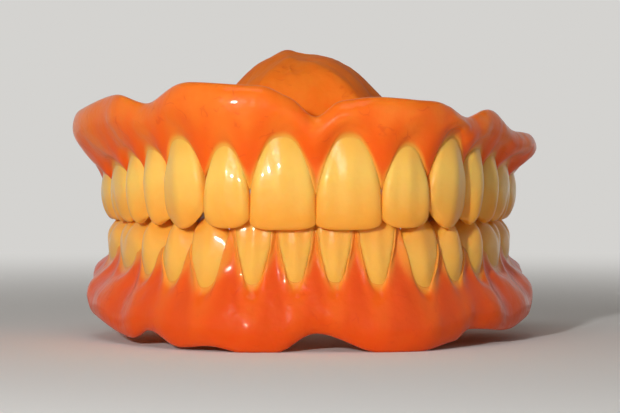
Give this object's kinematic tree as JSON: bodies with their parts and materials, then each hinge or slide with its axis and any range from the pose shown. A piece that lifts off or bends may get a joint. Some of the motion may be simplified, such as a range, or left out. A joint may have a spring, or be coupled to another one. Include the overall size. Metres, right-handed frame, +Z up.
{
  "type": "full denture",
  "caption": "Upper and lower full denture closed in the bite: orange-pink acrylic bases, each with a row of resin teeth.",
  "frame": {"origin": "centre of the footprint, on the plane that the pair stands on", "axes": "+X to the wearer's left, +Y towards the back of the mouth, +Z up"},
  "size_m": [0.0668, 0.0482, 0.0411],
  "materials": {
    "base_acrylic": "polished translucent denture acrylic",
    "tooth_resin": "polished layered tooth resin"
  },
  "bodies": {
    "root": {"upper_base": "base_acrylic", "lower_base": "base_acrylic", "upper_right_central_incisor": "tooth_resin", "upper_right_lateral_incisor": "tooth_resin", "upper_right_canine": "tooth_resin", "upper_right_first_premolar": "tooth_resin", "upper_right_second_premolar": "tooth_resin", "upper_right_first_molar": "tooth_resin", "upper_right_second_molar": "tooth_resin", "upper_left_central_incisor": "tooth_resin", "upper_left_lateral_incisor": "tooth_resin", "upper_left_canine": "tooth_resin", "upper_left_first_premolar": "tooth_resin", "upper_left_second_premolar": "tooth_resin", "upper_left_first_molar": "tooth_resin", "upper_left_second_molar": "tooth_resin", "lower_right_central_incisor": "tooth_resin", "lower_right_lateral_incisor": "tooth_resin", "lower_right_canine": "tooth_resin", "lower_right_first_premolar": "tooth_resin", "lower_right_second_premolar": "tooth_resin", "lower_right_first_molar": "tooth_resin", "lower_right_second_molar": "tooth_resin", "lower_left_central_incisor": "tooth_resin", "lower_left_lateral_incisor": "tooth_resin", "lower_left_canine": "tooth_resin", "lower_left_first_premolar": "tooth_resin", "lower_left_second_premolar": "tooth_resin", "lower_left_first_molar": "tooth_resin", "lower_left_second_molar": "tooth_resin"}
  },
  "joints": []
}
